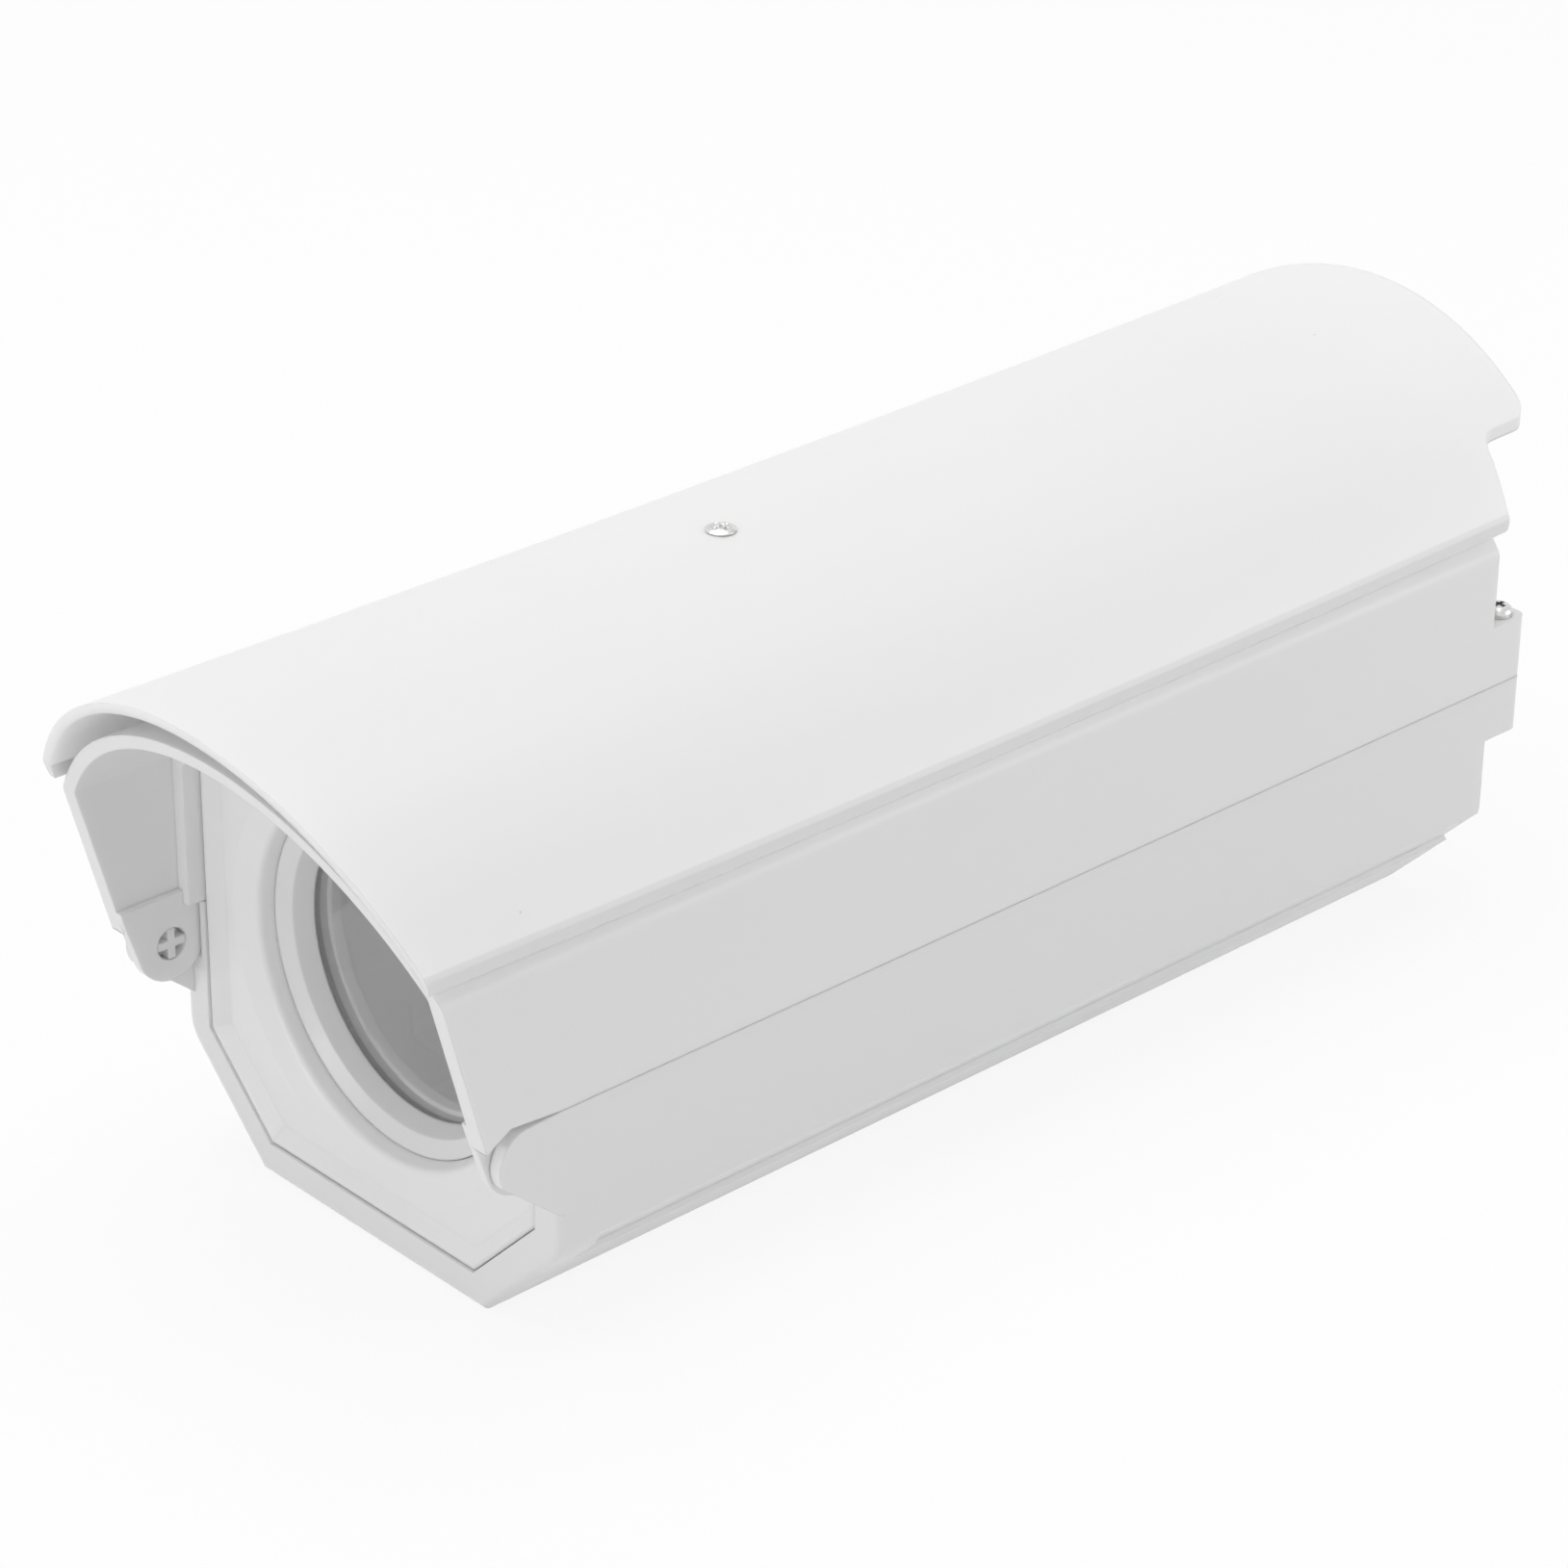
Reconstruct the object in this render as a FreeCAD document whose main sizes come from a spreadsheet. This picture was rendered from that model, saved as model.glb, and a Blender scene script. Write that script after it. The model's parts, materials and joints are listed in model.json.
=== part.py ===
import FreeCAD, Part
import math
import os
import Sketcher

# Outdoor housing for a surveillance camera: a lower shell, a hinged upper cover with a hood over the
# window, and a bowed sunshield held by one screw. Millimetres. X is to the side, Y runs from the
# window to the rear, Z is up. The origin is under the middle of the whole housing.

SIZES = [
    ("half_width", 50.0, "side wall to the middle plane"),
    ("floor_half_width", 30.0, "flat underside, half"),
    ("joint_height", 47.5, "top edge of the lower shell"),
    ("joint_gap", 0.1, "lower shell to upper cover"),
    ("front_reach", 107.0, "origin to the front rim"),
    ("rear_reach", 121.5, "origin to the rear wall"),
    ("corner_radius", 8.0, "chamfer to side wall"),
    ("front_round", 1.6, "rounded outer edge of the front rim"),
    ("groove_depth", 1.0, "band along the chamfer"),
    ("groove_start", 9.0, "front rim to the band"),
    ("groove_low", 13.4, "lower edge of the band"),
    ("shell_wall", 3.0, "walls and floor of the lower shell"),
    ("rim_width", 6.3, "front rim around the window plate"),
    ("plate_recess", 0.2, "front rim to the border of the window plate"),
    ("plate_floor", 2.2, "front rim to the floor of the window plate"),
    ("plate_slope", 3.3, "edge of the window plate to its floor"),
    ("plate_thick", 5.8, "window plate"),
    ("ledge_thick", 3.0, "wall behind the window plate"),
    ("plate_play", 0.3, "window plate to rim, all round"),
    ("plate_edge", 0.4, "chamfer of the window plate's edge"),
    ("dish_margin", 5.6, "front rim to the shallow window collar, at the side"),
    ("dish_lift", 3.8, "front rim to the same collar, below"),
    ("dish_width", 5.9, "window collar's edge to the seat of the retaining ring"),
    ("dish_fall", 4.3, "plate's floor to the retaining ring"),
    ("ledge_play", 1.4, "window collar's edge to the cut-out behind the plate"),
    ("collar_wall", 4.3, "wall around the seat of the ring, behind the plate"),
    ("ring_play", 0.15, "retaining ring in its seat"),
    ("ring_lip", 3.1, "retaining ring, outside to its front opening"),
    ("ring_wall", 4.85, "retaining ring, outside to its rear opening"),
    ("ring_length", 4.9, "retaining ring along the axis"),
    ("glass_thick", 3.0, "window glass"),
    ("seal_thick", 1.5, "flat seal behind the glass"),
    ("lip_thick", 2.5, "lip that carries seal and glass"),
    ("pivot_ahead", 5.8, "hinge axis ahead of the front rim"),
    ("pivot_height", 40.8, "hinge axis"),
    ("knuckle_radius", 6.35, "rounded nose of the hinge lug"),
    ("notch_rise", 0.9, "joint to the top of the cover's notch at the nose"),
    ("lug_thick", 2.5, "hinge lug"),
    ("ear_thick", 1.9, "ear of the upper cover"),
    ("ear_radius", 7.0, "round end of the ear"),
    ("post_radius", 3.0, "moulded cross post"),
    ("post_arm", 1.5, "arm width of the cross post"),
    ("hinge_play", 0.06, "ear hole around the cross post"),
    ("block_width", 18.0, "rear blocks, side wall to their inner side"),
    ("block_depth", 9.5, "rear wall to the back of the rear blocks"),
    ("block_low", 36.5, "underside of the lower blocks"),
    ("block_high", 60.0, "ledge under the closing screws"),
    ("screw_inset", 3.7, "closing screws inside the side wall"),
    ("screw_behind", 5.5, "closing screws behind the rear wall"),
    ("roof_extra", 10.1, "outside radius of the cover's roof over the half width"),
    ("roof_middle", 41.9, "height of the roof's axis"),
    ("shoulder_radius", 3.0, "rounded shoulder between side wall and roof"),
    ("cover_wall", 3.4, "side walls of the upper cover"),
    ("roof_wall", 2.6, "roof of the upper cover"),
    ("hood_ahead", 16.0, "hood edge ahead of the front rim at its level"),
    ("hood_level", 50.0, "height where the hood's reach is taken"),
    ("hood_lean", 0.275, "forward lean of the hood edge, per mm"),
    ("rib_depth", 2.9, "arched rib inside the hood"),
    ("rib_ahead", 3.0, "arched rib ahead of the front rim"),
    ("rib_behind", 3.0, "arched rib behind the front rim"),
    ("rib_gap", 0.3, "arched rib to window plate"),
    ("shield_extra", 10.0, "outside radius of the sunshield over the half width"),
    ("shield_rise", 6.3, "top of the cover's roof to the top of the sunshield"),
    ("shield_wall", 1.9, "sunshield sheet"),
    ("shield_screw", 27.0, "shield screw ahead of the origin"),
    ("bow_radius", 8000.0, "lengthwise bow of the sunshield"),
    ("shield_ahead", 25.53, "sunshield's front edge ahead of the front rim at its level"),
    ("shield_level", 79.0, "height where the sunshield's front edge is taken"),
    ("shield_lean", 0.295, "forward lean of that edge, per mm"),
    ("shield_behind", 19.9, "rear wall to the rear end of the sunshield"),
    ("tail_radius", 400.0, "bowed rear edge of the sunshield"),
    ("tongue_inset", 10.3, "rear tongue inside the side wall"),
    ("skirt_behind", 1.6, "rear wall to the rear end of the sunshield's sides"),
    ("skirt_depth", 3.75, "rolled sides of the sunshield, below the end of its arc"),
    ("tray_height", 13.0, "underside of the camera tray"),
    ("tray_thick", 2.0, "camera tray"),
    ("tray_half", 30.0, "camera tray, half width"),
    ("tray_front", 35.0, "front rim to the camera tray"),
    ("tray_rear", 29.5, "camera tray to the rear wall"),
    ("slot_half", 4.3, "half width of the tray's slot"),
    ("gland_height", 20.0, "cable inlet above the floor"),
    ("foot_half", 18.0, "bracket plate, half width"),
    ("foot_reach", 43.0, "bracket plate, half length"),
    ("foot_thick", 4.5, "bracket plate"),
]


class Size:
    """A number together with the expression that drives it."""

    def __init__(self, value, text):
        self.value = float(value)
        self.text = text

    def _with(self, other, sign, turned=False):
        other = as_size(other)
        left, right = (other, self) if turned else (self, other)
        value = {
            "+": lambda: left.value + right.value,
            "-": lambda: left.value - right.value,
            "*": lambda: left.value * right.value,
            "/": lambda: left.value / right.value,
        }[sign]()
        return Size(value, "(%s %s %s)" % (left.text, sign, right.text))

    def __add__(self, other):
        return self._with(other, "+")

    def __radd__(self, other):
        return self._with(other, "+", True)

    def __sub__(self, other):
        return self._with(other, "-")

    def __rsub__(self, other):
        return self._with(other, "-", True)

    def __mul__(self, other):
        return self._with(other, "*")

    def __rmul__(self, other):
        return self._with(other, "*", True)

    def __truediv__(self, other):
        return self._with(other, "/")

    def __neg__(self):
        return Size(-self.value, "(0 - %s)" % self.text)


def as_size(number):
    if isinstance(number, Size):
        return number
    return Size(number, "(%s)" % repr(round(float(number), 6)))


def root(size):
    size = as_size(size)
    return Size(math.sqrt(size.value), "sqrt(%s)" % size.text)


def arc_height(radius, middle, across):
    """Height of a circle of that radius about (0, middle) at a distance from its axis."""
    return middle + root(radius * radius - across * across)


os.makedirs("parts", exist_ok=True)
doc = FreeCAD.newDocument("camera_housing")
sheet = doc.addObject("Spreadsheet::Sheet", "sizes")
S = {}
for row, (alias, number, meaning) in enumerate(SIZES, start=1):
    sheet.set("A%d" % row, alias)
    sheet.set("B%d" % row, str(number))
    sheet.setAlias("B%d" % row, alias)
    sheet.set("C%d" % row, meaning)
    S[alias] = Size(number, "sizes.%s" % alias)
doc.recompute()

NODES = []
ROOT2 = math.sqrt(2.0)

FRONT = -S["front_reach"]
REAR = S["rear_reach"]
HALF = S["half_width"]
JOINT = S["joint_height"]
COVER_LOW = JOINT + S["joint_gap"]
PIVOT_Y = FRONT - S["pivot_ahead"]
PIVOT_Z = S["pivot_height"]
PLATE_FRONT = FRONT + S["plate_recess"]
PLATE_FLOOR = FRONT + S["plate_floor"]
PLATE_BACK = PLATE_FRONT + S["plate_thick"]
LEDGE_BACK = PLATE_BACK + S["ledge_thick"]
RING_FRONT = PLATE_FLOOR + S["dish_fall"]
GLASS_FRONT = RING_FRONT + S["ring_length"]
GLASS_BACK = GLASS_FRONT + S["glass_thick"]
SEAL_BACK = GLASS_BACK + S["seal_thick"]
COLLAR_BACK = SEAL_BACK + S["lip_thick"]
DISH_R = HALF - S["rim_width"] - S["dish_margin"]
WINDOW_Z = S["rim_width"] + S["dish_lift"] + DISH_R
BORE_R = DISH_R - S["dish_width"]
RING_R = BORE_R - S["ring_play"]
MOUTH_R = RING_R - S["ring_lip"]
THROAT_R = RING_R - S["ring_wall"]
INNER_HALF = HALF - S["cover_wall"]
ROOF_R = HALF + S["roof_extra"]
INNER_ROOF = ROOF_R - S["roof_wall"]
SHIELD_R = HALF + S["shield_extra"]
CROWN = S["roof_middle"] + ROOF_R + S["shield_rise"]
TRAY_LOW = S["tray_height"]
TRAY_TOP = TRAY_LOW + S["tray_thick"]
SHIELD_Y = -S["shield_screw"]
BLOCK_INSIDE = HALF - S["block_width"]
SCREW_X = HALF - S["screw_inset"]
SCREW_Y = REAR + S["screw_behind"]


# Bodies, planes and bound properties

def new_body(label):
    body = doc.addObject("PartDesign::Body", label)
    body.Label = label
    NODES.append(body)
    return body


def plane_of(body, role):
    for item in body.Origin.OriginFeatures:
        if item.Role == role:
            return item
    raise RuntimeError("no plane " + role)


def bind(item, path, size):
    if isinstance(size, Size):
        item.setExpression(path, size.text)


def place(item, x=0.0, y=0.0, z=0.0):
    """Placement of a piece, driven by sizes."""
    spot = [as_size(v) for v in (x, y, z)]
    item.Placement = FreeCAD.Placement(FreeCAD.Vector(*[v.value for v in spot]), FreeCAD.Rotation())
    for axis, size in zip("xyz", (x, y, z)):
        bind(item, "Placement.Base." + axis, size)


# Drawing in sketches

def hold(sketch, geo, pos, x, y):
    """Fix a point of the sketch at two driven distances from the origin."""
    for kind, axis, number in (("DistanceX", -2, x), ("DistanceY", -1, y)):
        if not isinstance(number, Size) and float(number) == 0.0:
            sketch.addConstraint(Sketcher.Constraint("PointOnObject", geo, pos, axis))
            continue
        size = as_size(number)
        index = sketch.addConstraint(Sketcher.Constraint(kind, -1, 1, geo, pos, size.value))
        bind(sketch, "Constraints[%d]" % index, number)


def arc_about(p, q, radius, turn):
    """Short arc from p to q; turn is 1 for counterclockwise and -1 for clockwise."""
    dx, dy = q[0] - p[0], q[1] - p[1]
    length = math.hypot(dx, dy)
    rise = math.sqrt(max(radius * radius - length * length / 4.0, 0.0)) * turn
    cx = (p[0] + q[0]) / 2.0 - dy / length * rise
    cy = (p[1] + q[1]) / 2.0 + dx / length * rise
    first, last = (p, q) if turn > 0 else (q, p)
    a0 = math.atan2(first[1] - cy, first[0] - cx)
    a1 = math.atan2(last[1] - cy, last[0] - cx)
    if a1 < a0:
        a1 += 2.0 * math.pi
    circle = Part.Circle(FreeCAD.Vector(cx, cy, 0), FreeCAD.Vector(0, 0, 1), radius)
    return Part.ArcOfCircle(circle, a0, a1)


def outline(sketch, corners):
    """Closed outline. A corner is (x, y), or (x, y, radius, turn) where an arc leaves it."""
    flat = [(as_size(c[0]).value, as_size(c[1]).value) for c in corners]
    ends = []
    for i, corner in enumerate(corners):
        p, q = flat[i], flat[(i + 1) % len(corners)]
        if len(corner) == 2:
            line = Part.LineSegment(FreeCAD.Vector(p[0], p[1], 0), FreeCAD.Vector(q[0], q[1], 0))
            ends.append((sketch.addGeometry(line, False), 1, 2))
            continue
        radius, turn = corner[2], corner[3]
        geo = sketch.addGeometry(arc_about(p, q, as_size(radius).value, turn), False)
        ends.append((geo, 1, 2) if turn > 0 else (geo, 2, 1))
        index = sketch.addConstraint(Sketcher.Constraint("Radius", geo, as_size(radius).value))
        bind(sketch, "Constraints[%d]" % index, radius)
    for i, corner in enumerate(corners):
        before = ends[i - 1]
        geo, start, _ = ends[i]
        sketch.addConstraint(Sketcher.Constraint("Coincident", before[0], before[2], geo, start))
        hold(sketch, geo, start, corner[0], corner[1])


def circle(sketch, x, y, radius):
    cx, cy, r = as_size(x).value, as_size(y).value, as_size(radius).value
    ring = Part.Circle(FreeCAD.Vector(cx, cy, 0), FreeCAD.Vector(0, 0, 1), r)
    geo = sketch.addGeometry(ring, False)
    hold(sketch, geo, 3, x, y)
    index = sketch.addConstraint(Sketcher.Constraint("Radius", geo, r))
    bind(sketch, "Constraints[%d]" % index, radius)


def rectangle(sketch, x0, y0, x1, y1):
    outline(sketch, [(x0, y0), (x1, y0), (x1, y1), (x0, y1)])


def axis_line(sketch, x0, y0, x1, y1):
    line = Part.LineSegment(
        FreeCAD.Vector(as_size(x0).value, as_size(y0).value, 0),
        FreeCAD.Vector(as_size(x1).value, as_size(y1).value, 0))
    geo = sketch.addGeometry(line, True)
    hold(sketch, geo, 1, x0, y0)
    hold(sketch, geo, 2, x1, y1)


# Features

def new_sketch(body, role, height, draw):
    """Sketch on an origin plane of the body, moved to a driven height along the global axis."""
    sketch = body.newObject("Sketcher::SketchObject", body.Name + "_sketch")
    sketch.AttachmentSupport = [(plane_of(body, role), "")]
    sketch.MapMode = "FlatFace"
    shift = -height if role == "XZ_Plane" else height
    size = as_size(shift)
    sketch.AttachmentOffset = FreeCAD.Placement(FreeCAD.Vector(0, 0, size.value), FreeCAD.Rotation())
    bind(sketch, "AttachmentOffset.Base.z", shift)
    draw(sketch)
    sketch.Visibility = False
    return sketch


def volume_of(body):
    tip = body.Tip
    if tip is None or tip.Shape.isNull():
        return 0.0
    return tip.Shape.Volume


def prism(body, kind, role, start, end, draw):
    """Adds or cuts an outline from start to end along the plane's global axis."""
    before = volume_of(body)
    sketch = new_sketch(body, role, start, draw)
    adding = kind == "add"
    feature = body.newObject("PartDesign::Pad" if adding else "PartDesign::Pocket", body.Name + "_" + kind)
    feature.Profile = sketch
    length = end - start
    feature.Length = as_size(length).value
    bind(feature, "Length", length)
    forward = role != "XZ_Plane"
    feature.Reversed = (not forward) if adding else forward
    doc.recompute()
    check_change(body, adding, before)
    return feature


def spin(body, kind, role, height, draw, angle=360.0, middle=False, axis="Axis0"):
    """Adds or cuts an outline turned about the construction line of its sketch."""
    before = volume_of(body)
    sketch = new_sketch(body, role, height, draw)
    adding = kind == "add"
    name = "PartDesign::Revolution" if adding else "PartDesign::Groove"
    feature = body.newObject(name, body.Name + "_" + kind)
    feature.Profile = sketch
    feature.ReferenceAxis = (sketch, [axis])
    feature.Angle = angle
    feature.Midplane = middle
    doc.recompute()
    check_change(body, adding, before)
    return feature


def check_change(body, adding, before):
    after = volume_of(body)
    if "Invalid" in body.Tip.State or body.Tip.Shape.isNull():
        raise RuntimeError("no shape in " + body.Tip.Name)
    if adding and after <= before or not adding and after >= before:
        raise RuntimeError("%s changed nothing: %.1f to %.1f" % (body.Tip.Name, before, after))


def edges_where(shape, test):
    return ["Edge%d" % (i + 1) for i, edge in enumerate(shape.Edges) if test(edge)]


def soften(body, kind, size, test):
    """Fillet or chamfer on the edges that pass the test."""
    names = edges_where(body.Tip.Shape, test)
    if not names:
        raise RuntimeError("no edge to soften on " + body.Name)
    base = body.Tip
    feature = body.newObject("PartDesign::" + kind, body.Name + "_" + kind.lower())
    feature.Base = (base, names)
    path = "Radius" if kind == "Fillet" else "Size"
    setattr(feature, path, as_size(size).value)
    bind(feature, path, size)
    base.Visibility = False
    doc.recompute()
    if "Invalid" in feature.State or feature.Shape.isNull():
        raise RuntimeError("softening failed on " + body.Name)
    return feature


# Simple turned and drilled pieces

def cylinder(label, radius, height, x=0.0, y=0.0, z=0.0, along="Z"):
    item = doc.addObject("Part::Cylinder", label)
    item.Radius = as_size(radius).value
    bind(item, "Radius", radius)
    item.Height = as_size(height).value
    bind(item, "Height", height)
    place(item, x, y, z)
    if along == "Y":
        item.Placement.Rotation = FreeCAD.Rotation(FreeCAD.Vector(1, 0, 0), -90)
    item.Visibility = False
    return item


def prism_part(label, sides, radius, height, x, y, z, along="Z"):
    item = doc.addObject("Part::Prism", label)
    item.Polygon = sides
    item.Circumradius = radius
    item.Height = as_size(height).value
    bind(item, "Height", height)
    place(item, x, y, z)
    if along == "Y":
        item.Placement.Rotation = FreeCAD.Rotation(FreeCAD.Vector(1, 0, 0), -90)
    item.Visibility = False
    return item


def box(label, dx, dy, dz, x, y, z):
    item = doc.addObject("Part::Box", label)
    for path, size in (("Length", dx), ("Width", dy), ("Height", dz)):
        setattr(item, path, as_size(size).value)
        bind(item, path, size)
    place(item, x, y, z)
    item.Visibility = False
    return item


def cut(label, base, tool):
    item = doc.addObject("Part::Cut", label)
    item.Base = base
    item.Tool = tool
    item.Visibility = False
    return item


def fuse(label, items):
    item = doc.addObject("Part::MultiFuse", label)
    item.Shapes = items
    item.Visibility = False
    return item


def group(label, items):
    """Several loose solids of one kind under one name."""
    if len(items) == 1:
        item = items[0]
    else:
        item = doc.addObject("Part::Compound", label)
        item.Links = items
    item.Label = label
    NODES.append(item)
    return item


def tube(label, outer, inner, height, x, y, z, along="Z"):
    back = 1.0
    solid = cylinder(label + "_out", outer, height, x, y, z, along)
    if along == "Y":
        hole = cylinder(label + "_in", inner, height + 2 * back, x, y - back, z, along)
    else:
        hole = cylinder(label + "_in", inner, height + 2 * back, x, y, z - back, along)
    return cut(label, solid, hole)


# Lower shell

def shell_outline(sketch):
    step = S["corner_radius"] * math.tan(math.radians(22.5))
    low_x = HALF - step / ROOT2
    low_z = HALF - S["floor_half_width"] - step / ROOT2
    high_z = HALF - S["floor_half_width"] + step
    outline(sketch, [
        (-S["floor_half_width"], 0), (S["floor_half_width"], 0),
        (low_x, low_z, S["corner_radius"], 1), (HALF, high_z),
        (HALF, JOINT), (-HALF, JOINT),
        (-HALF, high_z, S["corner_radius"], 1), (-low_x, low_z)])


def chamfered(sketch, inset, top, floor):
    """The shell's outline moved inwards by a wall, open to the given top."""
    line = S["floor_half_width"] - inset * ROOT2
    half = HALF - inset
    outline(sketch, [
        (-(line + floor), floor), (line + floor, floor), (half, half - line),
        (half, top), (-half, top), (-half, half - line)])


def chamfer_band(sketch, side):
    line = S["floor_half_width"] - S["groove_depth"] * ROOT2
    low = S["groove_low"]
    high = HALF - line + 2.0
    out = (S["groove_depth"] + 1.0) / ROOT2
    corners = [(low + line, low), (low + line + out, low - out), (high + line + out, high - out),
               (high + line, high)]
    outline(sketch, [(side * x, z) for x, z in corners])


def lug_outline(sketch):
    """Side view of the hinge lug: round nose about the pivot and a slanted underside."""
    r = S["knuckle_radius"]
    back = FRONT + S["rim_width"]
    low_y = PIVOT_Y - r * math.cos(math.radians(30))
    low_z = PIVOT_Z - r * math.sin(math.radians(30))
    outline(sketch, [
        (back, JOINT), (FRONT + 1.3, JOINT), (PIVOT_Y, PIVOT_Z + r, r, 1),
        (PIVOT_Y - r, PIVOT_Z, r, 1), (low_y, low_z), (FRONT, PIVOT_Z - 12.6), (back, PIVOT_Z - 15.0)])


def cross_outline(sketch):
    a = S["post_arm"] / 2
    r = root(S["post_radius"] * S["post_radius"] - a * a)
    corners = [(a, a), (a, r), (-a, r), (-a, a), (-r, a), (-r, -a),
               (-a, -a), (-a, -r), (a, -r), (a, -a), (r, -a), (r, a)]
    outline(sketch, [(PIVOT_Y + y, PIVOT_Z + z) for y, z in corners])


def rear_block(sketch, side):
    inside, reach = BLOCK_INSIDE, REAR + S["block_depth"]
    start = REAR - S["shell_wall"] / 2
    corners = [(side * inside, start), (side * HALF, start), (side * HALF, reach - 2.0, 2.0, side),
               (side * (HALF - 2.0), reach), (side * (inside + 2.0), reach, 2.0, side),
               (side * inside, reach - 2.0)]
    outline(sketch, corners)


def seal_path(sketch, play):
    out, inn = HALF - 0.8 - play, HALF - 2.2 + play
    start = LEDGE_BACK + 2.0 + play
    back_out, back_in = REAR - 0.8 - play, REAR - 2.2 + play
    outline(sketch, [
        (-out, start), (-out, back_out), (out, back_out), (out, start),
        (inn, start), (inn, back_in), (-inn, back_in), (-inn, start)])


def sides():
    return (1.0, -1.0)


def side_prism(body, kind, inner, outer, draw):
    """The same outline in the YZ plane on both sides, from inner to outer distance."""
    prism(body, kind, "YZ_Plane", inner, outer, draw)
    prism(body, kind, "YZ_Plane", -outer, -inner, draw)


LOW_SCREW_X = S["floor_half_width"] + 5.5
SIDE_SCREW_X = HALF - S["rim_width"] - S["plate_play"] - 2.4
TRAY_START = FRONT + S["tray_front"]
TRAY_END = REAR - S["tray_rear"]
PLATE_SCREWS = [(LOW_SCREW_X, 19.0), (-LOW_SCREW_X, 19.0), (SIDE_SCREW_X, 38.0), (-SIDE_SCREW_X, 38.0)]
TRAY_ROWS = [TRAY_START + 12.0, TRAY_END - 12.0]
TRAY_SCREWS = [(side * (S["tray_half"] - 6.0), y) for y in TRAY_ROWS for side in (1, -1)]
BRACKET_HOLES = [-25.0, 0.0, 25.0]
FOOT_ROWS = [S["foot_reach"] - 6.0, 6.0 - S["foot_reach"]]
FOOT_SCREWS = [(side * (S["foot_half"] - 5.0), y) for y in FOOT_ROWS for side in (1, -1)]


def foot_outline(sketch, play=0.0):
    half, reach = S["foot_half"] + play, S["foot_reach"] + play
    rectangle(sketch, -half, -reach, half, reach)


def base_shell():
    body = new_body("base_shell")
    prism(body, "add", "XZ_Plane", FRONT, REAR, shell_outline)
    front, top = FRONT.value + 0.01, JOINT.value - 0.01
    soften(body, "Fillet", S["front_round"],
           lambda edge: edge.BoundBox.YMax < front and edge.BoundBox.ZMin < top)
    for side in sides():
        prism(body, "cut", "XZ_Plane", FRONT + S["groove_start"], REAR + 1.0,
              lambda sk, side=side: chamfer_band(sk, side))
    prism(body, "cut", "XZ_Plane", LEDGE_BACK, REAR - S["shell_wall"],
          lambda sk: chamfered(sk, S["shell_wall"] + S["groove_depth"] / 2, JOINT + 1.0, S["shell_wall"]))
    prism(body, "cut", "XZ_Plane", FRONT - 1.0, PLATE_BACK,
          lambda sk: chamfered(sk, S["rim_width"], JOINT + 1.0, S["rim_width"]))
    prism(body, "cut", "XZ_Plane", PLATE_BACK - 1.0, LEDGE_BACK + 1.0,
          lambda sk: circle(sk, 0, WINDOW_Z, DISH_R + S["ledge_play"]))
    side_prism(body, "add", HALF - S["lug_thick"], HALF, lug_outline)
    ear_face = HALF - S["lug_thick"] - 0.2 - S["ear_thick"]
    side_prism(body, "cut", ear_face - 0.4, HALF - S["lug_thick"], lambda sk: circle(
        sk, PIVOT_Y, PIVOT_Z, S["ear_radius"] + 0.5))
    side_prism(body, "cut", ear_face - 0.4, HALF - S["lug_thick"], lambda sk: rectangle(
        sk, FRONT - 1.0, PIVOT_Z, PIVOT_Y + S["ear_radius"] + 0.5, JOINT + 1.0))
    side_prism(body, "add", ear_face + 0.1, HALF - S["lug_thick"] / 2, cross_outline)
    for side in sides():
        prism(body, "add", "XY_Plane", S["block_low"], JOINT, lambda sk, side=side: rear_block(sk, side))
    for side in sides():
        prism(body, "cut", "XY_Plane", JOINT - 8.0, JOINT + 1.0,
              lambda sk, side=side: circle(sk, side * SCREW_X, SCREW_Y, 2.3))
    for x, y in TRAY_SCREWS:
        prism(body, "add", "XY_Plane", S["shell_wall"] - 1.0, TRAY_LOW,
              lambda sk, x=x, y=y: circle(sk, x, y, 4.0))
        prism(body, "cut", "XY_Plane", TRAY_LOW - 8.0, TRAY_LOW + 1.0,
              lambda sk, x=x, y=y: circle(sk, x, y, 1.5))
    prism(body, "add", "XY_Plane", S["shell_wall"] - 1.0, S["foot_thick"] + 3.0,
          lambda sk: foot_outline(sk, 4.0))
    prism(body, "cut", "XY_Plane", as_size(-1.0), S["foot_thick"], lambda sk: foot_outline(sk, 0.1))
    for x, y in FOOT_SCREWS:
        prism(body, "cut", "XY_Plane", S["foot_thick"] - 1.0, S["foot_thick"] + 2.2,
              lambda sk, x=x, y=y: circle(sk, x, y, 1.2))
    for x, z in PLATE_SCREWS:
        prism(body, "cut", "XZ_Plane", PLATE_BACK - 1.0, LEDGE_BACK + 1.0,
              lambda sk, x=x, z=z: circle(sk, x, z, 1.5))
    prism(body, "cut", "XZ_Plane", REAR - S["shell_wall"] - 1.0, REAR + 1.0,
          lambda sk: circle(sk, 0, S["gland_height"], 8.1))
    prism(body, "cut", "XY_Plane", JOINT - 1.2, JOINT + 1.0, lambda sk: seal_path(sk, 0.0))
    return body


# Upper cover

def arch(sketch, half, radius, low, shoulder):
    """Straight sides and an arched top, joined by small arcs that touch both."""
    middle = S["roof_middle"]
    rise = root((radius - shoulder) * (radius - shoulder) - (half - shoulder) * (half - shoulder))
    share = radius / (radius - shoulder)
    x, z = (half - shoulder) * share, middle + rise * share
    outline(sketch, [(-half, low), (half, low), (half, middle + rise, shoulder, 1),
                     (x, z, radius, 1), (-x, z, shoulder, 1), (-half, middle + rise)])


def hood_edge(height):
    """How far forward the hood reaches at a height."""
    return FRONT - S["hood_ahead"] - (height - S["hood_level"]) * S["hood_lean"]


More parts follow.
